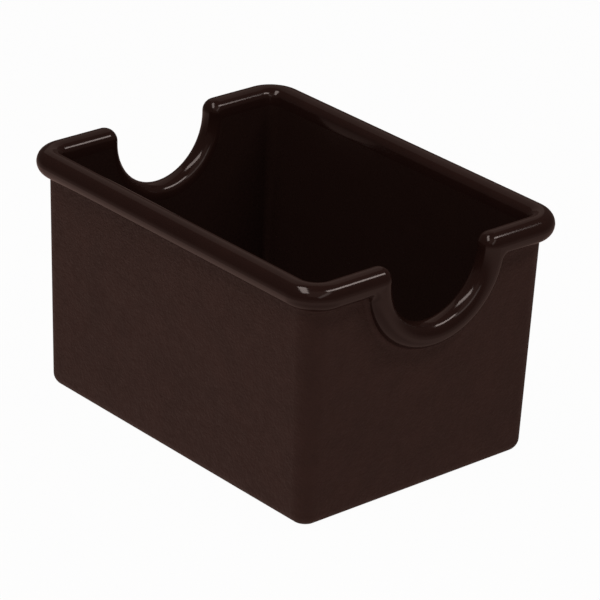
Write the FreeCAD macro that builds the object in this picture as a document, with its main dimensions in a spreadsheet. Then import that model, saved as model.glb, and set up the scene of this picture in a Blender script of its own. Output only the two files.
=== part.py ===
"""Packet caddy for a serving counter: one injection-moulded open box.

Four drafted walls stand on a floor with a recessed underside. A round bead runs along the top
of the walls. In the middle of each short wall it turns down and follows a U-shaped finger notch.

Millimetres. +X runs along the length, +Y across the width and +Z up. The origin is at the
centre of the face that the caddy stands on.
"""

import FreeCAD, Part

import math
import os

import Sketcher

# name of the cell: (value, what it is)
SIZES = {
    "overall_length": (89.0, "over the bead, along X"),
    "overall_width": (67.1, "over the bead, along Y"),
    "overall_height": (52.2, "from the counter to the top of the bead"),
    "bead_radius": (2.73, "the bead is round and its centre lies on the outer wall face"),
    "bead_foot_radius": (0.8, "small round where the bead meets the outer wall face"),
    "wall_thickness": (2.6, "the same on all four walls"),
    "wall_draft": (1.6, "degrees; the walls lean outwards towards the top"),
    "foot_corner_radius": (3.5, "vertical corners, outside, at the counter"),
    "base_fillet": (2.5, "round between the walls and the underside"),
    "floor_height": (3.4, "top of the floor above the counter"),
    "floor_corner_radius": (1.1, "vertical corners, inside, at the floor"),
    "floor_fillet": (0.8, "round between the walls and the floor, inside"),
    "notch_half_width": (14.6, "from the middle of the notch to the middle of its bead"),
    "notch_arc_height": (49.05, "centre of the notch's round bottom above the counter"),
    "ring_width": (4.6, "standing ring round the underside, from wall foot to recess"),
    "recess_depth": (0.8, "how far the middle of the underside is raised"),
    "recess_corner_radius": (3.0, "corners of the underside recess"),
    "gate_diameter": (2.4, "trimmed moulding gate in the middle of the underside"),
    "gate_height": (0.35, "how far the trimmed gate stands out of the recess"),
    "headroom": (4.0, "how far the cutting profiles run past the middle of the bead"),
}

# Expressions that several features share.
RIM_HEIGHT = "(Sizes.overall_height - Sizes.bead_radius)"
HALF_LENGTH = "(Sizes.overall_length / 2 - Sizes.bead_radius)"
HALF_WIDTH = "(Sizes.overall_width / 2 - Sizes.bead_radius)"
DRAFT = "(Sizes.wall_draft * 1 deg)"

QUARTER_TURN = math.pi / 2
UP = FreeCAD.Vector(0, 0, 1)


def lean(height):
    """How far a wall leans out between a height and the middle of the bead, as an expression."""
    return f"({RIM_HEIGHT} - ({height})) * tan({DRAFT})"


def add_sheet(doc):
    sheet = doc.addObject("Spreadsheet::Sheet", "Sizes")
    for row, (name, (value, note)) in enumerate(SIZES.items(), start=1):
        sheet.set(f"A{row}", name)
        sheet.set(f"B{row}", str(value))
        sheet.setAlias(f"B{row}", name)
        sheet.set(f"C{row}", note)
    doc.recompute()


def new_sketch(body, name, plane_role, offset=None):
    """A sketch on one of the body's own origin planes, moved along its normal by an expression."""
    plane = next(item for item in body.Origin.OriginFeatures if item.Role == plane_role)
    sketch = body.newObject("Sketcher::SketchObject", name)
    sketch.AttachmentSupport = (plane, [""])
    sketch.MapMode = "FlatFace"
    if offset is not None:
        sketch.setExpression("AttachmentOffset.Base.z", offset)
    return sketch


def drive(sketch, name, constraint, expression):
    """Adds a named constraint whose value follows the sheet."""
    index = sketch.addConstraint(constraint)
    sketch.renameConstraint(index, name)
    sketch.setExpression(f"Constraints.{name}", expression)


def rounded_rectangle(sketch, half_length, half_width, radius):
    """Draws a rounded rectangle about the origin. The three sizes are expressions."""
    x, y, r = 30.0, 20.0, 4.0  # a first shape, before the constraints set the real one
    arcs = []
    for turn, (sx, sy) in enumerate([(1, 1), (-1, 1), (-1, -1), (1, -1)]):
        circle = Part.Circle(FreeCAD.Vector(sx * (x - r), sy * (y - r), 0), UP, r)
        start = turn * QUARTER_TURN
        arc = Part.ArcOfCircle(circle, start, start + QUARTER_TURN)
        arcs.append(sketch.addGeometry(arc, False))
    for turn in range(4):
        this, following = arcs[turn], arcs[(turn + 1) % 4]
        side = Part.LineSegment(
            sketch.Geometry[this].EndPoint, sketch.Geometry[following].StartPoint
        )
        line = sketch.addGeometry(side, False)
        sketch.addConstraint(Sketcher.Constraint("Tangent", this, 2, line, 1))
        sketch.addConstraint(Sketcher.Constraint("Tangent", line, 2, following, 1))
        direction = "Horizontal" if turn % 2 == 0 else "Vertical"
        sketch.addConstraint(Sketcher.Constraint(direction, line))
    for turn in range(1, 4):
        sketch.addConstraint(Sketcher.Constraint("Equal", arcs[0], arcs[turn]))
    sketch.addConstraint(Sketcher.Constraint("Symmetric", arcs[0], 3, arcs[2], 3, -1, 1))
    drive(sketch, "radius", Sketcher.Constraint("Radius", arcs[0], r), radius)
    across = Sketcher.Constraint("DistanceX", -1, 1, arcs[0], 3, x - r)
    drive(sketch, "centre_x", across, f"{half_length} - ({radius})")
    along = Sketcher.Constraint("DistanceY", -1, 1, arcs[0], 3, y - r)
    drive(sketch, "centre_y", along, f"{half_width} - ({radius})")


def circle_about(sketch, across, up, radius):
    """Draws a circle with its centre at (across, up). The three sizes are expressions."""
    x, y, r = -20.0, 40.0, 2.0  # a first shape, before the constraints set the real one
    circle = sketch.addGeometry(Part.Circle(FreeCAD.Vector(x, y, 0), UP, r), False)
    drive(sketch, "radius", Sketcher.Constraint("Radius", circle, r), radius)
    drive(sketch, "across", Sketcher.Constraint("DistanceX", -1, 1, circle, 3, x), across)
    drive(sketch, "up", Sketcher.Constraint("DistanceY", -1, 1, circle, 3, y), up)


def notch_line(sketch, top, closed):
    """Draws the notch as a U, two straight legs on a half circle, closed over the top if asked."""
    x, low, high = 14.0, 48.0, 50.0  # a first shape, before the constraints set the real one
    circle = Part.Circle(FreeCAD.Vector(0, low, 0), UP, x)
    arc = sketch.addGeometry(Part.ArcOfCircle(circle, math.pi, 2 * math.pi), False)
    corners = [(-x, high), (-x, low), (x, low), (x, high)]
    points = [FreeCAD.Vector(across, up, 0) for across, up in corners]
    left = sketch.addGeometry(Part.LineSegment(points[0], points[1]), False)
    right = sketch.addGeometry(Part.LineSegment(points[2], points[3]), False)
    sketch.addConstraint(Sketcher.Constraint("Tangent", left, 2, arc, 1))
    sketch.addConstraint(Sketcher.Constraint("Tangent", arc, 2, right, 1))
    sketch.addConstraint(Sketcher.Constraint("Vertical", left))
    sketch.addConstraint(Sketcher.Constraint("Vertical", right))
    sketch.addConstraint(Sketcher.Constraint("PointOnObject", arc, 3, -2))
    if closed:
        over = sketch.addGeometry(Part.LineSegment(points[3], points[0]), False)
        sketch.addConstraint(Sketcher.Constraint("Coincident", right, 2, over, 1))
        sketch.addConstraint(Sketcher.Constraint("Coincident", over, 2, left, 1))
        sketch.addConstraint(Sketcher.Constraint("Horizontal", over))
    else:
        sketch.addConstraint(Sketcher.Constraint("Horizontal", left, 1, right, 2))
    drive(sketch, "radius", Sketcher.Constraint("Radius", arc, x), "Sizes.notch_half_width")
    centre = Sketcher.Constraint("DistanceY", -1, 1, arc, 3, low)
    drive(sketch, "arc_height", centre, "Sizes.notch_arc_height")
    drive(sketch, "top", Sketcher.Constraint("DistanceY", -1, 1, right, 2, high), top)


def level_edges(shape, height):
    """Names of the edges that lie level at a height."""
    names = []
    for number, edge in enumerate(shape.Edges, start=1):
        box = edge.BoundBox
        if abs(box.ZMin - height) < 1e-3 and abs(box.ZMax - height) < 1e-3:
            names.append(f"Edge{number}")
    return names


def checked(feature, change):
    """Recomputes and stops if the feature failed or changed the volume the wrong way.

    change is 1 for a feature that adds material, -1 for one that removes it."""
    feature.Document.recompute()
    shape = feature.Shape
    if "Invalid" in feature.State or "Error" in feature.State or shape.isNull():
        raise RuntimeError(f"{feature.Name} failed")
    if not shape.isValid() or len(shape.Solids) != 1:
        raise RuntimeError(f"{feature.Name} is not one valid solid")
    before = feature.BaseFeature.Shape.Volume if feature.BaseFeature else 0.0
    if (shape.Volume - before) * change <= 0:
        raise RuntimeError(f"{feature.Name} changed the volume the wrong way")
    print(f"{feature.Name}: {shape.Volume:.0f} cubic mm")
    return feature


def add_outer_block(body):
    """The outside of the walls, as a solid block up to the middle of the bead."""
    foot = new_sketch(body, "WallFoot", "XY_Plane")
    foot_length = f"{HALF_LENGTH} - {lean('0')}"
    foot_width = f"{HALF_WIDTH} - {lean('0')}"
    rounded_rectangle(foot, foot_length, foot_width, "Sizes.foot_corner_radius")
    walls = body.newObject("PartDesign::Pad", "WallBlock")
    walls.Profile = foot
    walls.setExpression("Length", RIM_HEIGHT)
    walls.setExpression("TaperAngle", "Sizes.wall_draft")
    checked(walls, 1)

    base = body.newObject("PartDesign::Fillet", "BaseFillet")
    base.Base = (walls, level_edges(walls.Shape, 0.0))
    base.setExpression("Radius", "Sizes.base_fillet")
    checked(base, -1)


def add_rim_bead(body):
    """The bead along the whole rim. The notches cut through it afterwards."""
    rim = new_sketch(body, "RimLine", "XY_Plane", RIM_HEIGHT)
    rim_corner_radius = f"Sizes.foot_corner_radius + {lean('0')}"
    rounded_rectangle(rim, HALF_LENGTH, HALF_WIDTH, rim_corner_radius)
    section = new_sketch(body, "BeadSection", "YZ_Plane")
    circle_about(section, f"-{HALF_WIDTH}", RIM_HEIGHT, "Sizes.bead_radius")
    bead = body.newObject("PartDesign::AdditivePipe", "RimBead")
    bead.Profile = section
    bead.Spine = (rim, [])
    checked(bead, 1)


def cut_notches(body):
    """One cut along X opens both short walls, down to the middle of the notch bead."""
    outline = new_sketch(body, "NotchOutline", "YZ_Plane")
    notch_line(outline, f"{RIM_HEIGHT} + Sizes.headroom", closed=True)
    notch = body.newObject("PartDesign::Pocket", "Notches")
    notch.Profile = outline
    notch.Type = "ThroughAll"
    notch.Midplane = True
    checked(notch, -1)


def add_notch_beads(body):
    """The bead follows the notch down one wall, in an upright plane through the rim line.

    A ball of the bead's radius rounds each upper end, where it meets the rim bead. A mirror
    makes the other wall's."""
    line = new_sketch(body, "NotchBeadLine", "YZ_Plane", HALF_LENGTH)
    notch_line(line, RIM_HEIGHT, closed=False)
    section = new_sketch(body, "NotchBeadSection", "XY_Plane", RIM_HEIGHT)
    circle_about(section, HALF_LENGTH, "Sizes.notch_half_width", "Sizes.bead_radius")
    bead = body.newObject("PartDesign::AdditivePipe", "NotchBead")
    bead.Profile = section
    bead.Spine = (line, [])
    made = [checked(bead, 1)]
    for name, side in (("LeftBall", ""), ("RightBall", "-")):
        ball = body.newObject("PartDesign::AdditiveSphere", name)
        ball.setExpression("Radius", "Sizes.bead_radius * 1 mm")
        ball.setExpression("Placement.Base.x", HALF_LENGTH)
        ball.setExpression("Placement.Base.y", f"{side}Sizes.notch_half_width")
        ball.setExpression("Placement.Base.z", RIM_HEIGHT)
        made.append(checked(ball, 1))
    middle = next(item for item in body.Origin.OriginFeatures if item.Role == "YZ_Plane")
    mirror = body.newObject("PartDesign::Mirrored", "OtherNotchBead")
    mirror.Originals = made
    mirror.MirrorPlane = (middle, [""])
    body.Tip = mirror
    checked(mirror, 1)


def bead_foot_edges(shape, sizes):
    """Names of the edges where the beads meet the outer wall faces."""
    slope = math.tan(math.radians(sizes.wall_draft))
    rim_height = sizes.overall_height - sizes.bead_radius
    notch_bottom = sizes.notch_arc_height - sizes.notch_half_width - sizes.bead_radius
    names = []
    for number, edge in enumerate(shape.Edges, start=1):
        if edge.BoundBox.ZMin < notch_bottom - 1 or edge.BoundBox.ZMax > rim_height - 1:
            continue
        middle = edge.valueAt((edge.FirstParameter + edge.LastParameter) / 2)
        setback = sizes.bead_radius + (rim_height - middle.z) * slope
        radius = sizes.foot_corner_radius + middle.z * slope
        across = abs(middle.x) - (sizes.overall_length / 2 - setback - radius)
        along = abs(middle.y) - (sizes.overall_width / 2 - setback - radius)
        outside = math.hypot(max(across, 0), max(along, 0)) + min(max(across, along), 0)
        if abs(outside - radius) < 0.01:
            names.append(f"Edge{number}")
    return names


def round_bead_foot(body):
    """The small round between the beads and the outer wall faces."""
    beads = body.Tip
    foot = body.newObject("PartDesign::Fillet", "BeadFoot")
    foot.Base = (beads, bead_foot_edges(beads.Shape, body.Document.Sizes))
    foot.setExpression("Radius", "Sizes.bead_foot_radius")
    checked(foot, 1)


def cut_cavity(body):
    """The hollow for the packets. Its faces lean as the walls do, and it trims the beads flush."""
    outline = new_sketch(body, "FloorOutline", "XY_Plane", "Sizes.floor_height")
    length = f"{HALF_LENGTH} - {lean('Sizes.floor_height')} - Sizes.wall_thickness"
    width = f"{HALF_WIDTH} - {lean('Sizes.floor_height')} - Sizes.wall_thickness"
    rounded_rectangle(outline, length, width, "Sizes.floor_corner_radius")
    cavity = body.newObject("PartDesign::Pocket", "Cavity")
    cavity.Profile = outline
    cavity.Reversed = True
    cavity.setExpression("Length", f"{RIM_HEIGHT} + Sizes.headroom - Sizes.floor_height")
    cavity.setExpression("TaperAngle", "Sizes.wall_draft")
    checked(cavity, -1)

    edge = body.newObject("PartDesign::Fillet", "FloorFillet")
    floor_height = body.Document.Sizes.floor_height
    edge.Base = (cavity, level_edges(cavity.Shape, floor_height))
    edge.setExpression("Radius", "Sizes.floor_fillet")
    checked(edge, 1)


def shape_underside(body):
    """The middle of the underside is raised, so that the caddy stands on a narrow ring."""
    outline = new_sketch(body, "RecessOutline", "XY_Plane")
    length = f"{HALF_LENGTH} - {lean('0')} - Sizes.ring_width"
    width = f"{HALF_WIDTH} - {lean('0')} - Sizes.ring_width"
    rounded_rectangle(outline, length, width, "Sizes.recess_corner_radius")
    recess = body.newObject("PartDesign::Pocket", "UndersideRecess")
    recess.Profile = outline
    recess.Reversed = True
    recess.setExpression("Length", "Sizes.recess_depth")
    checked(recess, -1)

    outline = new_sketch(body, "GateOutline", "XY_Plane", "Sizes.recess_depth")
    circle_about(outline, "0", "0", "Sizes.gate_diameter / 2")
    gate = body.newObject("PartDesign::Pad", "GateMark")
    gate.Profile = outline
    gate.Reversed = True
    gate.setExpression("Length", "Sizes.gate_height")
    checked(gate, 1)


def build_caddy(doc):
    body = doc.addObject("PartDesign::Body", "CaddyBody")
    body.Label = "caddy_body"
    add_outer_block(body)
    add_rim_bead(body)
    cut_notches(body)
    add_notch_beads(body)
    round_bead_foot(body)
    cut_cavity(body)
    shape_underside(body)
    return body


def main():
    doc = FreeCAD.newDocument("PacketCaddy")
    add_sheet(doc)
    body = build_caddy(doc)
    doc.recompute()
    for item in doc.Objects:
        if "Invalid" in item.State or "Error" in item.State:
            raise RuntimeError(f"{item.Name} failed")
    shape = body.Shape
    if shape.isNull() or not shape.isValid() or len(shape.Solids) != 1:
        raise RuntimeError("the caddy is not one valid solid")
    os.makedirs("parts", exist_ok=True)
    shape.exportStep(f"parts/{body.Label}.step")
    size = shape.optimalBoundingBox(False)
    print(f"size {size.XLength:.2f} x {size.YLength:.2f} x {size.ZLength:.2f} mm")
    print(f"volume {shape.Volume / 1000:.1f} cubic cm, {len(shape.Faces)} faces")


main()
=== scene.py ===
"""Looks of the packet caddy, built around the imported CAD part.

Metres in the scene, millimetres in the shape functions. +X runs along the length and +Z up.
"""

import math

import bmesh
import bpy
import numpy as np
from mathutils import Matrix, Vector


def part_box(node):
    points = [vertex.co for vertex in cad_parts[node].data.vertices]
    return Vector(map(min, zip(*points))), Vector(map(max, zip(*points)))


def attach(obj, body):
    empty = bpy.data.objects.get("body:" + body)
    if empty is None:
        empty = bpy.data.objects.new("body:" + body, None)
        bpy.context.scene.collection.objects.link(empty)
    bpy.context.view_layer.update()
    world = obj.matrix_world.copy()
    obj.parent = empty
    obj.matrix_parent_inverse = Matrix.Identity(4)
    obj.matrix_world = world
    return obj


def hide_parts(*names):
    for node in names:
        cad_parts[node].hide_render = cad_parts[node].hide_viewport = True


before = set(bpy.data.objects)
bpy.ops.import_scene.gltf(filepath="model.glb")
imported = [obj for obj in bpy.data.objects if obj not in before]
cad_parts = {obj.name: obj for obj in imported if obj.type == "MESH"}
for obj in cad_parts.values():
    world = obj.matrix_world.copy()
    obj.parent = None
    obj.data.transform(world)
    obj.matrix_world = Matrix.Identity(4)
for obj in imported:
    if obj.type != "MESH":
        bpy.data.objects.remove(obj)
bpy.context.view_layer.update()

MM = 0.001

# Sizes of the moulding, in millimetres. The overall sizes come from the frame.
low, high = (np.array(corner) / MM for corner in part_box("caddy_body"))
HALF_OVERALL = (high - low)[:2] / 2
HEIGHT = high[2]
SEAM = 0.012  # the mould's parting line stands this far out of the bead
BEAD = 2.73 - SEAM  # radius of the round bead
WALL = 2.6
DRAFT = math.tan(math.radians(1.6))
FOOT_CORNER = 3.5  # outer corner radius at the counter; it grows upwards with the draft
BASE_ROUND = 2.5
FLOOR = 3.4
FLOOR_ROUND = 0.8
BEAD_FOOT = 0.8  # small round between bead and wall
NOTCH = 14.6  # half width of the notch, to the middle of its bead
NOTCH_CENTRE = 49.05  # height of the centre of the notch's half circle
ELBOW = 1.0  # round in the inner angle where rim bead and notch bead meet
RING = 4.6  # standing ring, from wall foot to recess
RECESS = 0.8
RECESS_CORNER = 3.0
EDGE = 0.25  # small rounds at the edges of ring and cavity
SEAM_HALF_WIDTH = 0.1  # from the parting line to where it has died out

RIM = HEIGHT - BEAD - SEAM
HALF = HALF_OVERALL - BEAD - SEAM  # outer wall faces at the rim


# ---------------------------------------------------------------- shape as a distance field

FAR = 1e3  # a distance that never counts
SHARP = 1e-6  # a radius that stands for no round at all
ELBOW_START = 0.25  # where the elbow's round begins, in bead radii towards the wall
FLATTEST = 0.05  # least squared slope of the distance that a step is worked out from


def round_join(a, b, radius):
    """Union of two solids with a round in the angle between them."""
    u = np.maximum(radius - a, 0)
    v = np.maximum(radius - b, 0)
    return np.maximum(radius, np.minimum(a, b)) - np.hypot(u, v)


def round_cut(a, b, radius):
    """What two solids share, with a rounded edge."""
    u = np.maximum(radius + a, 0)
    v = np.maximum(radius + b, 0)
    return np.minimum(-radius, np.maximum(a, b)) + np.hypot(u, v)


def rounded_rectangle(x, y, half_x, half_y, radius):
    across = np.abs(x) - (half_x - radius)
    along = np.abs(y) - (half_y - radius)
    outside = np.hypot(np.maximum(across, 0), np.maximum(along, 0))
    return outside + np.minimum(np.maximum(across, along), 0) - radius


def wall_half(height):
    """Half length and half width of the outer wall faces at a height."""
    lean = (RIM - height) * DRAFT
    return HALF[0] - lean, HALF[1] - lean


def corner_radius(height):
    return FOOT_CORNER + height * DRAFT


def to_segment(p, start, end):
    """Distance to a straight stretch of the bead's middle line."""
    start, end = np.array(start), np.array(end)
    along = end - start
    share = np.clip((p - start) @ along / (along @ along), 0, 1)
    return np.linalg.norm(p - start - share[:, None] * along, axis=1)


def bead_distance(p):
    """Distance to the bead, which follows the rim and dips round each notch."""
    q = np.abs(p)
    q[:, 2] = p[:, 2]
    corner = corner_radius(RIM)
    x, y, z = q.T
    side = to_segment(q, (0, HALF[1], RIM), (HALF[0] - corner, HALF[1], RIM))
    turn_x, turn_y = x - (HALF[0] - corner), y - (HALF[1] - corner)
    turn = np.hypot(np.hypot(turn_x, turn_y) - corner, z - RIM)
    turn = np.where((turn_x > 0) & (turn_y > 0), turn, FAR)
    tab = to_segment(q, (HALF[0], HALF[1] - corner, RIM), (HALF[0], NOTCH, RIM))
    rim = np.minimum(np.minimum(side, turn), tab)

    lean = (RIM - z) * DRAFT
    leg = to_segment(
        q, (HALF[0], NOTCH, RIM), (wall_half(NOTCH_CENTRE)[0], NOTCH, NOTCH_CENTRE)
    )
    dip = np.hypot(np.hypot(y, z - NOTCH_CENTRE) - NOTCH, x - (HALF[0] - lean))
    dip = np.where(z < NOTCH_CENTRE, dip, FAR)
    notch = np.minimum(leg, dip)

    # The round in the elbow lies on the wall's side only; the other side is a plain ball.
    into_wall = ((y - NOTCH) - (z - RIM)) / math.sqrt(2) / BEAD
    fade = np.clip((into_wall - ELBOW_START) / (1 - ELBOW_START), 0, 1)
    radius = SHARP + ELBOW * fade * fade * (3 - 2 * fade)
    return round_join(rim - BEAD, notch - BEAD, radius)


def caddy_distance(p):
    """Signed distance to the caddy's surface, near enough for finding it and its normals."""
    x, y, z = p.T
    half_x, half_y = wall_half(z)
    corner = corner_radius(z)
    outside = rounded_rectangle(x, y, half_x, half_y, corner)
    above = np.abs(y) - NOTCH
    below = np.hypot(y, z - NOTCH_CENTRE) - NOTCH
    notch = np.where(z > NOTCH_CENTRE, above, below)
    notch = np.where(np.abs(x) > HALF[0] / 2, notch, FAR)
    walls = np.maximum(round_cut(outside, -z, BASE_ROUND), np.maximum(z - RIM, -notch))
    solid = round_join(walls, bead_distance(p), BEAD_FOOT)

    inner_corner = corner - WALL
    hollow = rounded_rectangle(x, y, half_x - WALL, half_y - WALL, inner_corner)
    hollow = round_cut(hollow, FLOOR - z, FLOOR_ROUND)
    solid = round_cut(solid, -hollow, EDGE)

    foot_x, foot_y = wall_half(0)
    recess = rounded_rectangle(x, y, foot_x - RING, foot_y - RING, RECESS_CORNER)
    recess = round_cut(recess, z - RECESS, EDGE)
    return round_cut(solid, -recess, EDGE)


def gradient(p, step=2e-3):
    rows = []
    for axis in np.eye(3) * step:
        rows.append((caddy_distance(p + axis) - caddy_distance(p - axis)) / (2 * step))
    return np.stack(rows, axis=1)


def settle(p, rounds=8):
    """Moves points onto the surface, along its normals."""
    for _ in range(rounds):
        slope = gradient(p)
        square = np.maximum((slope * slope).sum(1), FLATTEST)
        p = p - (caddy_distance(p) / square)[:, None] * slope
    return p


# ---------------------------------------------------------------- grid over one quarter


def perimeter(kind, share, half_x, half_y, radius):
    """A point of a rounded rectangle's first quarter, by which side it is on and how far along."""
    if kind == "side":
        return share * (half_x - radius), half_y
    if kind == "corner":
        angle = share * math.pi / 2
        return (
            half_x - radius + radius * math.sin(angle),
            half_y - radius + radius * math.cos(angle),
        )
    return half_x, (1 - share) * (half_y - radius)


SIDE_STEPS, CORNER_STEPS, TAB_STEPS, ELBOW_STEPS, LEG_STEPS, DIP_STEPS = 18, 14, 12, 12, 2, 34
# On any level loop, the lines of the tab, the elbow and the notch share the short wall's half:
ELBOW_SHARE = 0.26  # the tab's lines take this much of it
ELBOW_SPREAD = 0.06  # and the elbow's take this much more


def stations():
    """Lines across the bead for one quarter of the rim, from mid side to the notch's bottom.

    Each has the bead's middle point, its open direction, the point where the bead meets the
    wall on its other side, and its place on any level loop."""
    corner_end = HALF[1] - corner_radius(RIM)
    meet_angle = math.asin((NOTCH_CENTRE - RIM + BEAD) / (NOTCH + BEAD))
    meet_y = (NOTCH + BEAD) * math.cos(meet_angle)
    up, found = np.array([0, 0, 1.0]), []

    def add(middle, open_way, wall_point, outward, kind, share):
        found.append(
            {
                "middle": np.array(middle, float),
                "open": np.array(open_way, float),
                "wall": np.array(wall_point, float),
                "out": np.array(outward, float),
                "kind": kind,
                "share": share,
            }
        )

    for step in range(SIDE_STEPS):
        share = step / SIDE_STEPS
        x, y = perimeter("side", share, *HALF, corner_radius(RIM))
        add((x, y, RIM), up, (x, y, RIM - BEAD), (0, 1, 0), "side", share)
    for step in range(CORNER_STEPS):
        share = step / CORNER_STEPS
        x, y = perimeter("corner", share, *HALF, corner_radius(RIM))
        turn = share * math.pi / 2
        outward = (math.sin(turn), math.cos(turn), 0)
        add((x, y, RIM), up, (x, y, RIM - BEAD), outward, "corner", share)
    for step in range(TAB_STEPS):
        share = step / TAB_STEPS
        y = corner_end + (NOTCH - corner_end) * share
        meet = corner_end + (meet_y + ELBOW / 2 - corner_end) * share
        at = (HALF[0], meet, RIM - BEAD)
        add((HALF[0], y, RIM), up, at, (1, 0, 0), "end", share * ELBOW_SHARE)
    for step in range(ELBOW_STEPS):
        share = step / ELBOW_STEPS
        turn = share * math.pi / 2
        shift = ELBOW / 2 * (1 - 2 * share)
        meet = (HALF[0], meet_y + max(shift, 0), RIM - BEAD + min(shift, 0))
        way = (0, -math.sin(turn), math.cos(turn))
        spread = ELBOW_SHARE + ELBOW_SPREAD * share
        add((HALF[0], NOTCH, RIM), way, meet, (1, 0, 0), "end", spread)
    below = ELBOW_SHARE + ELBOW_SPREAD
    steps = LEG_STEPS + DIP_STEPS
    first = meet_angle + ELBOW / 2 / (NOTCH + BEAD)
    for step in range(steps + 1):
        if step < LEG_STEPS:
            height = RIM + (NOTCH_CENTRE - RIM) * step / LEG_STEPS
            y, z, way = NOTCH, height, (0, -1, 0)
        else:
            turn = (step - LEG_STEPS) / DIP_STEPS * math.pi / 2
            y = NOTCH * math.cos(turn)
            z = NOTCH_CENTRE - NOTCH * math.sin(turn)
            way = (0, -math.cos(turn), math.sin(turn))
        share = step / steps
        turn = first + (math.pi / 2 - first) * share
        meet_z = NOTCH_CENTRE - (NOTCH + BEAD) * math.sin(turn)
        meet = (wall_half(meet_z)[0], (NOTCH + BEAD) * math.cos(turn), meet_z)
        at = (wall_half(z)[0], y, z)
        add(at, way, meet, (1, 0, 0), "end", below + (1 - below) * share)
    return found


WALL_STEPS, FOOT_STEPS, INNER_STEPS = 12, 4, 12
BELOW_STEPS, ABOVE_STEPS, BEHIND_STEPS = 10, 14, 11  # round the bead
BASE_STEPS, FLOOR_STEPS, EDGE_STEPS = 8, 6, 3
ROOF_INSETS = (6.0, 3.0, 1.0)  # rows on the recess's roof, inwards from its wall
ROOF_CORNER = 0.5  # least corner radius of those rows
RING_SHARES = (0.35, 0.7)  # rows across the standing ring
FLOOR_INSETS = (2.2, 4.0)  # rows on the floor, inwards from its round
FLOOR_CORNER = 0.6  # their corner radius
GATHERING = 1.35  # above 1, so the rows on the walls lie closer together towards the bead
CONTACT = math.sqrt((BEAD + BEAD_FOOT) ** 2 - BEAD_FOOT**2)  # where the bead's foot ends
FOOT_ANGLE = math.atan2(BEAD_FOOT, CONTACT)  # where it begins, on the bead
RISE = math.sqrt(BEAD**2 - WALL**2)  # the cavity trims the bead this far past its middle
TRIM_ANGLE = 1.5 * math.pi - math.asin(RISE / BEAD)


def level_loop(columns, height, half_x, half_y, radius):
    points = []
    for column in columns:
        x, y = perimeter(column["kind"], column["share"], half_x, half_y, radius)
        points.append((x, y, height))
    return np.array(points)


def arc_steps(count, start, stop):
    """Cosine and sine at even steps from start to stop, both ends included."""
    angles = [start + (stop - start) * step / count for step in range(count + 1)]
    return [(math.cos(angle), math.sin(angle)) for angle in angles]


def underside_rows(columns):
    """From the recess's roof, down over the standing ring and round to the foot of the wall."""
    half_x, half_y = wall_half(0)
    inner_x, inner_y = half_x - RING, half_y - RING
    rows = []
    for inset in ROOF_INSETS:
        corner = max(RECESS_CORNER - inset, ROOF_CORNER)
        rows.append(level_loop(columns, RECESS, inner_x - inset, inner_y - inset, corner))
    for cosine, sine in arc_steps(EDGE_STEPS, 0, math.pi / 2):
        inset, drop = EDGE * (1 - sine), EDGE * (1 - cosine)
        corner = RECESS_CORNER - inset
        loop = level_loop(columns, RECESS - drop, inner_x - inset, inner_y - inset, corner)
        rows.append(loop)
    for cosine, sine in arc_steps(EDGE_STEPS, 0, math.pi / 2):
        grow, rise = EDGE * (1 - cosine), EDGE * (1 - sine)
        corner = RECESS_CORNER + grow
        rows.append(level_loop(columns, rise, inner_x + grow, inner_y + grow, corner))
    slant = math.pi / 2 - math.atan(DRAFT)  # the base round turns by a little less than a quarter
    start_inset = BASE_ROUND * math.tan(slant / 2)
    for share in RING_SHARES:
        inset = RING - EDGE + (start_inset - RING + EDGE) * share
        corner = RECESS_CORNER + EDGE + (FOOT_CORNER - start_inset - RECESS_CORNER - EDGE) * share
        rows.append(level_loop(columns, 0, half_x - inset, half_y - inset, corner))
    for cosine, sine in arc_steps(BASE_STEPS, 0, slant):
        inset, rise = start_inset - BASE_ROUND * sine, BASE_ROUND * (1 - cosine)
        corner = FOOT_CORNER - inset
        rows.append(level_loop(columns, rise, half_x - inset, half_y - inset, corner))
    return rows


def between(column, top, share, base_height, set_in):
    """A point on a wall face, part way from its foot to a point at its top."""
    height = base_height + (top[2] - base_height) * share
    half_x, half_y = (half - set_in for half in wall_half(height))
    corner = corner_radius(height) - set_in
    x, y = perimeter(column["kind"], column["share"], half_x, half_y, corner)
    if column["kind"] != "end":
        return x, y, height
    base_x, base_y = (half - set_in for half in wall_half(base_height))
    base_corner = corner_radius(base_height) - set_in
    foot = perimeter("end", column["share"], base_x, base_y, base_corner)[1]
    return half_x, foot + (top[1] - foot) * share, height


def wall_rows(columns):
    """Up the outer wall face, then the small round at the bead's foot."""
    base_height = BASE_ROUND * (1 - math.sin(math.atan(DRAFT)))
    rows = []
    tops = []
    for column in columns:
        way = column["wall"] - column["middle"]
        tops.append(column["wall"] + way / np.linalg.norm(way) * (CONTACT - BEAD))
    for step in range(1, WALL_STEPS + 1):
        share = 1 - (1 - step / WALL_STEPS) ** GATHERING
        rows.append([between(c, t, share, base_height, 0) for c, t in zip(columns, tops)])
    for step in range(1, FOOT_STEPS):
        share = step / FOOT_STEPS
        row = []
        for column, top in zip(columns, tops):
            start = np.array(between(column, top, 1, base_height, 0))
            row.append(start + (bead_point(column, FOOT_ANGLE) - start) * share)
        rows.append(row)
    return [np.array(row) for row in rows]


def bead_point(column, angle):
    """A point on the bead. The angle runs from the wall below, past outside, to the open side."""
    across = column["wall"] - column["middle"]
    if math.cos(angle) < 0:
        across = -BEAD * column["open"]
    return column["middle"] + across * math.cos(angle) + BEAD * column["out"] * math.sin(angle)


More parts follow.
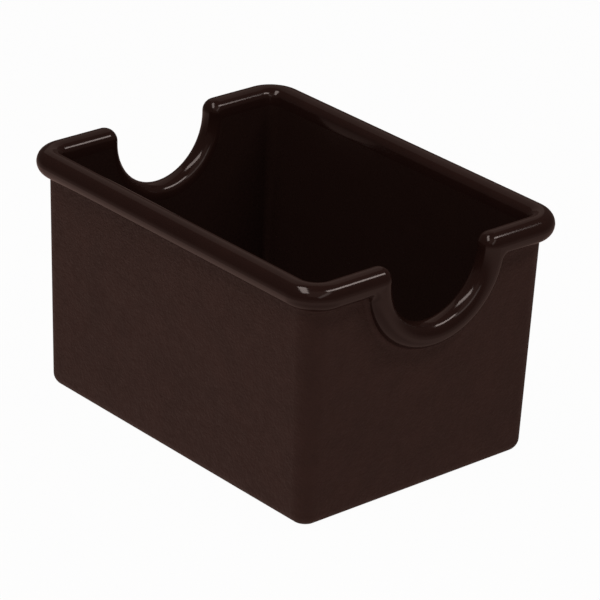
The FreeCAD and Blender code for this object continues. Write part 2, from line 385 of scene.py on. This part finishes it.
def bead_rows(columns):
    outside, top, beside_seam = math.pi / 2, math.pi, SEAM_HALF_WIDTH / BEAD
    angles = []
    for start, stop, steps in (
        (FOOT_ANGLE, outside - beside_seam, BELOW_STEPS),
        (outside, outside + beside_seam, 1),
        (outside + beside_seam, top, ABOVE_STEPS),
        (top, TRIM_ANGLE, BEHIND_STEPS),
    ):
        angles += [start + (stop - start) * step / steps for step in range(steps)]
        if start == FOOT_ANGLE:
            angles.append(stop)
    angles.append(TRIM_ANGLE)
    return [np.array([bead_point(c, angle) for c in columns]) for angle in angles]


def inner_rows(columns):
    """Down the inner wall face, round into the floor and a little way across it."""
    base_height = FLOOR + FLOOR_ROUND
    rows = []
    tops = [c["middle"] + RISE * c["open"] for c in columns]
    for step in range(1, INNER_STEPS + 1):
        share = 1 - (step / INNER_STEPS) ** GATHERING
        rows.append([between(c, t, share, base_height, WALL) for c, t in zip(columns, tops)])
    for cosine, sine in arc_steps(FLOOR_STEPS, 0, math.pi / 2)[1:]:
        height = FLOOR + FLOOR_ROUND * (1 - sine)
        inset = FLOOR_ROUND * (1 - cosine)
        half_x, half_y = (half - WALL - inset for half in wall_half(height))
        corner = corner_radius(height) - WALL - inset
        rows.append(level_loop(columns, height, half_x, half_y, corner))
    half_x, half_y = (half - WALL for half in wall_half(FLOOR))
    for inset in FLOOR_INSETS:
        loop = level_loop(columns, FLOOR, half_x - inset, half_y - inset, FLOOR_CORNER)
        rows.append(loop)
    return [np.array(row) for row in rows]


# ---------------------------------------------------------------- the whole mesh

UNDERSIDE, OUTER, RIM_BEAD, INSIDE = range(4)  # material zones
MARK_SIDES = 40
EJECTOR_PLACES = [(sx * 27.5, sy * 17.0) for sx in (1, -1) for sy in (1, -1)]
# Radius and height above the floor of an ejector pin's print, from its rim to its flat.
EJECTOR_PRINT = [(2.60, 0.0), (2.55, -0.015), (2.50, -0.06), (2.44, -0.075), (2.20, -0.075)]
# Radius and height above the recess's roof of the trimmed gate, from its foot to its top.
GATE_MARK = [
    (1.75, 0.0),
    (1.40, -0.03),
    (1.24, -0.12),
    (1.20, -0.28),
    (1.12, -0.34),
    (0.90, -0.33),
]


def whole_loop(quarter):
    """Mirrors rows over one quarter into closed rows round the whole caddy."""
    count = quarter.shape[1]
    parts = [
        (range(count), (1, 1, 1)),
        (range(count - 2, -1, -1), (1, -1, 1)),
        (range(1, count), (-1, -1, 1)),
        (range(count - 2, 0, -1), (-1, 1, 1)),
    ]
    return np.concatenate([quarter[:, list(r)] * np.array(s) for r, s in parts], axis=1)


def raise_seam(rows, slope, columns, seam):
    """Raises the mould's parting line, one row along the outermost line of the bead."""
    rows[seam] += SEAM * np.array([column["out"] for column in columns])
    for row in (seam - 1, seam, seam + 1):
        up = rows[row + 1] - rows[row - 1]
        along = np.gradient(rows[row], axis=0)
        slope[row] = np.cross(along, up)
    slope[seam - 1 : seam + 2] *= -1


def add_print(bm, centre, height, profile, zone, turned):
    """Sinks or raises a small round mark in a flat face. Returns its outermost ring's edges."""
    rings = []
    for radius, rise in profile:
        ring = []
        for side in range(MARK_SIDES):
            angle = 2 * math.pi * side / MARK_SIDES
            x, y = centre[0] + radius * math.cos(angle), centre[1] + radius * math.sin(angle)
            ring.append(bm.verts.new(Vector((x, y, height + rise)) * MM))
        rings.append(ring)
    for outer, inner in zip(rings, rings[1:]):
        for side in range(MARK_SIDES):
            after = (side + 1) % MARK_SIDES
            quad = [outer[side], outer[after], inner[after], inner[side]]
            bm.faces.new(quad[::-1] if turned else quad).material_index = zone
    bm.faces.new(rings[-1][::-1] if turned else rings[-1]).material_index = zone
    first = rings[0]
    return [bm.edges.get((first[side], first[side - 1])) for side in range(MARK_SIDES)]


def fill_flat(bm, loop, marks, zone):
    """Closes a flat area between a loop of vertices and the marks in it."""
    edges = [bm.edges.get((loop[i], loop[i - 1])) for i in range(len(loop))]
    made = bmesh.ops.triangle_fill(bm, use_beauty=True, edges=edges + marks)
    for face in made["geom"]:
        if isinstance(face, bmesh.types.BMFace):
            face.material_index = zone


def shape_rows():
    """Rows of points over one quarter, their normals, and each row's material zone."""
    columns = stations()
    underside = underside_rows(columns)
    groups = [
        (underside[: -BASE_STEPS - 1], UNDERSIDE),
        (underside[-BASE_STEPS - 1 :] + wall_rows(columns), OUTER),
        (bead_rows(columns), RIM_BEAD),
        (inner_rows(columns), INSIDE),
    ]
    rows = np.array([row for group, _ in groups for row in group])
    zones = [zone for group, zone in groups for _ in group]
    rows = settle(rows.reshape(-1, 3)).reshape(rows.shape)
    rows[:, 0, 0] = 0
    rows[:, -1, 1] = 0
    slope = gradient(rows.reshape(-1, 3)).reshape(rows.shape)
    raise_seam(rows, slope, columns, zones.index(RIM_BEAD) + BELOW_STEPS + 1)
    return rows, slope, zones


def build_caddy():
    rows, slope, zones = shape_rows()
    points, normals = whole_loop(rows), whole_loop(slope)
    bm = bmesh.new()
    grid = [[bm.verts.new(Vector(point) * MM) for point in row] for row in points]
    for lower, upper, zone in zip(grid, grid[1:], zones):
        for j in range(len(lower)):
            face = bm.faces.new((lower[j - 1], upper[j - 1], upper[j], lower[j]))
            face.material_index = zone
    marks = []
    for place in EJECTOR_PLACES:
        marks += add_print(bm, place, FLOOR, EJECTOR_PRINT, INSIDE, turned=False)
    gate = add_print(bm, (0, 0), RECESS, GATE_MARK, UNDERSIDE, turned=True)
    fill_flat(bm, grid[-1], marks, INSIDE)
    fill_flat(bm, grid[0], gate, UNDERSIDE)
    for face in bm.faces:
        face.smooth = True
    bmesh.ops.recalc_face_normals(bm, faces=bm.faces)
    mesh = bpy.data.meshes.new("caddy_shell")
    bm.to_mesh(mesh)
    bm.free()
    known = normals.reshape(-1, 3)
    known /= np.linalg.norm(known, axis=1)[:, None]
    every = [list(vertex.normal) for vertex in mesh.vertices]
    every[: len(known)] = known.tolist()
    mesh.normals_split_custom_set_from_vertices(every)
    caddy = bpy.data.objects.new("caddy_shell", mesh)
    bpy.context.scene.collection.objects.link(caddy)
    return caddy


caddy = build_caddy()
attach(caddy, "root")
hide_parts("caddy_body")


# ---------------------------------------------------------------- materials


class Graph:
    """Adds nodes to a material's tree and links them."""

    def __init__(self, material):
        self.nodes, self.links = material.node_tree.nodes, material.node_tree.links

    def add(self, kind, output=0, **inputs):
        node = self.nodes.new(kind)
        for name, value in inputs.items():
            self.put(value, node.inputs[name.replace("_", " ")])
        return node.outputs[output]

    def put(self, value, socket):
        if isinstance(value, bpy.types.NodeSocket):
            self.links.new(value, socket)
        else:
            socket.default_value = value

    def place(self):
        """The part's own coordinates, in millimetres."""
        metres = self.add("ShaderNodeTexCoord", "Object")
        return self.add("ShaderNodeMapping", Vector=metres, Scale=[1 / MM] * 3)

    def noise(self, size, detail, roughness):
        """Noise whose lumps are about so many millimetres across."""
        return self.add(
            "ShaderNodeTexNoise",
            Vector=self.place(),
            Scale=1 / size,
            Detail=detail,
            Roughness=roughness,
        )

    def spread(self, value, low, high, start=0.3, stop=0.7):
        """Maps a texture's middle range to the range from low to high."""
        return self.add(
            "ShaderNodeMapRange",
            Value=value,
            From_Min=start,
            From_Max=stop,
            To_Min=low,
            To_Max=high,
        )


def tinted(graph, colour, share, amount):
    """The plastic's colour, a little darker or paler from place to place."""
    dark = [value * (1 - amount) for value in colour] + [1]
    pale = [value * (1 + amount) for value in colour] + [1]
    node = graph.nodes.new("ShaderNodeMix")
    node.data_type = "RGBA"
    graph.put(share, node.inputs["Factor"])
    node.inputs["A"].default_value, node.inputs["B"].default_value = dark, pale
    return node.outputs["Result"]


PATCH_SIZE = 7.0  # of the slightly darker and paler patches
WAVE_SIZE = 9.0  # of the slow sink waves that bend the reflections
FLECK_SIZE = 2.5  # of the smoother and rougher flecks, in grains
FLECK_SHARE = 0.12  # how far the flecks' roughness differs


def plastic(name, colour, roughness, mottle, grain, depth, wave=0.0, sheen=0.0):
    """Moulded plastic: grain is the size of its surface texture and depth that texture's height.

    wave is the height of the sink waves. All three are in millimetres."""
    material = bpy.data.materials.new(name)
    material.use_nodes = True
    graph = Graph(material)
    shader = graph.nodes["Principled BSDF"]
    patches = graph.noise(PATCH_SIZE, 4.0, 0.6)
    colour = tinted(graph, colour, graph.spread(patches, 0, 1), mottle)
    graph.put(colour, shader.inputs["Base Color"])
    flecks = graph.noise(grain * FLECK_SIZE, 3.0, 0.6)
    rough = graph.spread(flecks, roughness * (1 - FLECK_SHARE), roughness * (1 + FLECK_SHARE))
    graph.put(rough, shader.inputs["Roughness"])
    height = graph.spread(graph.noise(grain, 3.0, 0.65), 0, depth * MM, 0, 1)
    slow = graph.spread(graph.noise(WAVE_SIZE, 1.0, 0.5), 0, wave * MM, 0, 1)
    both = graph.nodes.new("ShaderNodeMath")
    graph.put(height, both.inputs[0])
    graph.put(slow, both.inputs[1])
    bump = graph.add("ShaderNodeBump", Height=both.outputs[0], Strength=1.0, Distance=1.0)
    graph.put(bump, shader.inputs["Normal"])
    shader.inputs["Sheen Weight"].default_value = sheen
    shader.inputs["Sheen Roughness"].default_value = 0.5
    shader.inputs["Sheen Tint"].default_value = (1, 0.75, 0.65, 1)
    return material


ZONES = [
    plastic("underside_plastic", (0.07, 0.03, 0.024), 0.45, 0.06, 0.5, 0.006),
    # Same plastic as the inside and the bead, but with a paler base colour that stands in for the
    # light the outer walls get: painted light. The texture, bump and sheen are real.
    plastic("textured_plastic_painted_light", (0.0525, 0.0255, 0.0207), 0.52, 0.12, 0.65, 0.2, sheen=0.03),
    plastic("polished_bead", (0.030, 0.0145, 0.012), 0.12, 0.08, 0.8, 0.0008, wave=0.05),
    plastic("inner_plastic", (0.033, 0.0178, 0.0146), 0.28, 0.05, 0.6, 0.003),
]
for material in ZONES:
    caddy.data.materials.append(material)


# ---------------------------------------------------------------- stage, light and camera


FLOOR_HALF = 3.0  # metres
FLOOR_GLOW = 0.975


def add_stage():
    """A pale floor that glows evenly. The plastic doesn't see it: it sees the world's table."""
    mesh = bpy.data.meshes.new("floor")
    corners = [(x * FLOOR_HALF, y * FLOOR_HALF, 0) for x, y in ((-1, -1), (1, -1), (1, 1), (-1, 1))]
    mesh.from_pydata(corners, [], [(0, 1, 2, 3)])
    floor = bpy.data.objects.new("floor", mesh)
    bpy.context.scene.collection.objects.link(floor)
    material = bpy.data.materials.new("pale_floor")
    material.use_nodes = True
    shader = material.node_tree.nodes["Principled BSDF"]
    shader.inputs["Base Color"].default_value = (0.02, 0.02, 0.02, 1)
    shader.inputs["Roughness"].default_value = 1.0
    shader.inputs["Specular IOR Level"].default_value = 0.0
    shader.inputs["Emission Color"].default_value = (1, 1, 1, 1)
    shader.inputs["Emission Strength"].default_value = FLOOR_GLOW
    floor.visible_diffuse = False
    floor.visible_glossy = False
    floor.visible_shadow = False
    floor.data.materials.append(material)


def direction(azimuth, elevation):
    azimuth, elevation = math.radians(azimuth), math.radians(elevation)
    level = math.cos(elevation)
    return Vector(
        (level * math.cos(azimuth), level * math.sin(azimuth), math.sin(elevation))
    )


WARM = (1, 0.65, 0.56, 1)
ROOM_GLOW = 0.07
# Pale parts of the table: azimuth and elevation of the middle, brightness, and narrowness.
TABLE_PARTS = [(-15, -45, 0.33, 1.6), (-150, -48, 0.30, 6.0)]
OWN_SHADE = 0.42  # how much darker the table is close to the caddy
# Heights of a direction, between which the table fades in and its own shade sets in.
TABLE_EDGE = (0.12, -0.5)
SHADE_EDGE = (-0.62, -0.82)


def add_world():
    """A dim room over a table, as the plastic sees them. The table is darker close by."""
    world = bpy.data.worlds.new("studio")
    world.use_nodes = True
    nodes, links = world.node_tree.nodes, world.node_tree.links

    def step(operation, *inputs):
        node = nodes.new("ShaderNodeMath")
        node.operation = operation
        for socket, value in zip(node.inputs, inputs):
            if isinstance(value, bpy.types.NodeSocket):
                links.new(value, socket)
            else:
                socket.default_value = value
        return node.outputs[0]

    place = nodes.new("ShaderNodeTexCoord").outputs["Generated"]
    split = nodes.new("ShaderNodeSeparateXYZ")
    links.new(place, split.inputs[0])

    def fall(start, stop):
        """From 0 to 1 as the view sinks from one height to a lower one, smoothly."""
        ramp = nodes.new("ShaderNodeMapRange")
        ramp.interpolation_type = "SMOOTHSTEP"
        ramp.inputs["From Min"].default_value = start
        ramp.inputs["From Max"].default_value = stop
        links.new(split.outputs["Z"], ramp.inputs["Value"])
        return ramp.outputs["Result"]

    table = 0.0
    for azimuth, elevation, glow, narrowness in TABLE_PARTS:
        towards = nodes.new("ShaderNodeVectorMath")
        towards.operation = "DOT_PRODUCT"
        towards.inputs[1].default_value = direction(azimuth, elevation)
        links.new(place, towards.inputs[0])
        share = step("POWER", step("MULTIPLY_ADD", towards.outputs["Value"], 0.5, 0.5), narrowness)
        table = step("MULTIPLY_ADD", share, glow, table)
    shade = step("MULTIPLY_ADD", fall(*SHADE_EDGE), -OWN_SHADE, 1.0)
    table = step("MULTIPLY", step("MULTIPLY", table, fall(*TABLE_EDGE)), shade)
    links.new(step("ADD", table, ROOM_GLOW), nodes["Background"].inputs["Strength"])
    nodes["Background"].inputs["Color"].default_value = WARM
    bpy.context.scene.world = world


SOFTBOX_DISTANCE = 0.5
BESIDE_RIM = Vector((0, 0, 0.045))  # where the softboxes' directions are seen from
DAYLIGHT = (1, 0.85, 0.8)
# Name, start and end of the middle line as azimuth and elevation, width in degrees, radiance
# and colour.
SOFTBOXES = [
    ("left_softbox", (-142, 71), (-70, 42), 16, 3.7, DAYLIGHT),
    ("right_softbox", (6, 57), (60, 42.5), 9, 5.0, DAYLIGHT),
    ("right_spill", (12, 46), (-30, 16), 10, 0.7, DAYLIGHT),
    ("front_fill", (-65, 38), (0, 38), 40, 0.14, (1, 0.7, 0.6)),
    ("back_fill", (115, 34), (180, 40), 45, 0.14, (1, 0.75, 0.66)),
]


def add_softbox(name, start, end, width, radiance, colour):
    """A rectangular light whose long middle line is seen from start to end, as directions."""
    start, end = direction(*start), direction(*end)
    middle = (start + end).normalized()
    along = (end - start).normalized()
    across = middle.cross(along)
    length = 2 * SOFTBOX_DISTANCE * math.tan(start.angle(end) / 2)
    breadth = 2 * SOFTBOX_DISTANCE * math.tan(math.radians(width) / 2)
    data = bpy.data.lights.new(name, "AREA")
    data.shape = "RECTANGLE"
    data.size, data.size_y = length, breadth
    data.color = colour
    data.energy = radiance * math.pi * length * breadth
    light = bpy.data.objects.new(name, data)
    turn = Matrix((along, across, middle)).transposed().to_4x4()
    light.matrix_world = Matrix.Translation(middle * SOFTBOX_DISTANCE + BESIDE_RIM) @ turn
    bpy.context.scene.collection.objects.link(light)


AZIMUTH, ELEVATION, ROLL = (math.radians(angle) for angle in (48.324, 24.747, 2.562))
CAMERA_DISTANCE = 731.0 * MM
CAMERA_SHIFT = (-2.441 * MM, 0.354 * MM)  # of the aim, from the middle of the caddy
LENS, SENSOR = 219.07, 36.0
NEAREST = 0.05  # metres; nothing nearer to the camera is drawn


def add_camera():
    back = Vector(
        (
            math.sin(AZIMUTH) * math.cos(ELEVATION),
            -math.cos(AZIMUTH) * math.cos(ELEVATION),
            math.sin(ELEVATION),
        )
    )
    level = Vector((math.cos(AZIMUTH), math.sin(AZIMUTH), 0))
    steep = back.cross(level)
    right = math.cos(ROLL) * level + math.sin(ROLL) * steep
    up = math.cos(ROLL) * steep - math.sin(ROLL) * level
    place = back * CAMERA_DISTANCE + Vector((0, 0, HEIGHT * MM / 2))
    place -= right * CAMERA_SHIFT[0] + up * CAMERA_SHIFT[1]
    data = bpy.data.cameras.new("camera")
    data.lens = LENS
    data.sensor_width = SENSOR
    data.clip_start = NEAREST
    camera = bpy.data.objects.new("camera", data)
    turn = Matrix((right, up, back)).transposed().to_4x4()
    camera.matrix_world = Matrix.Translation(place) @ turn
    bpy.context.scene.collection.objects.link(camera)
    bpy.context.scene.camera = camera


add_stage()
add_world()
for softbox in SOFTBOXES:
    add_softbox(*softbox)
add_camera()
bpy.context.scene.view_settings.view_transform = "Standard"
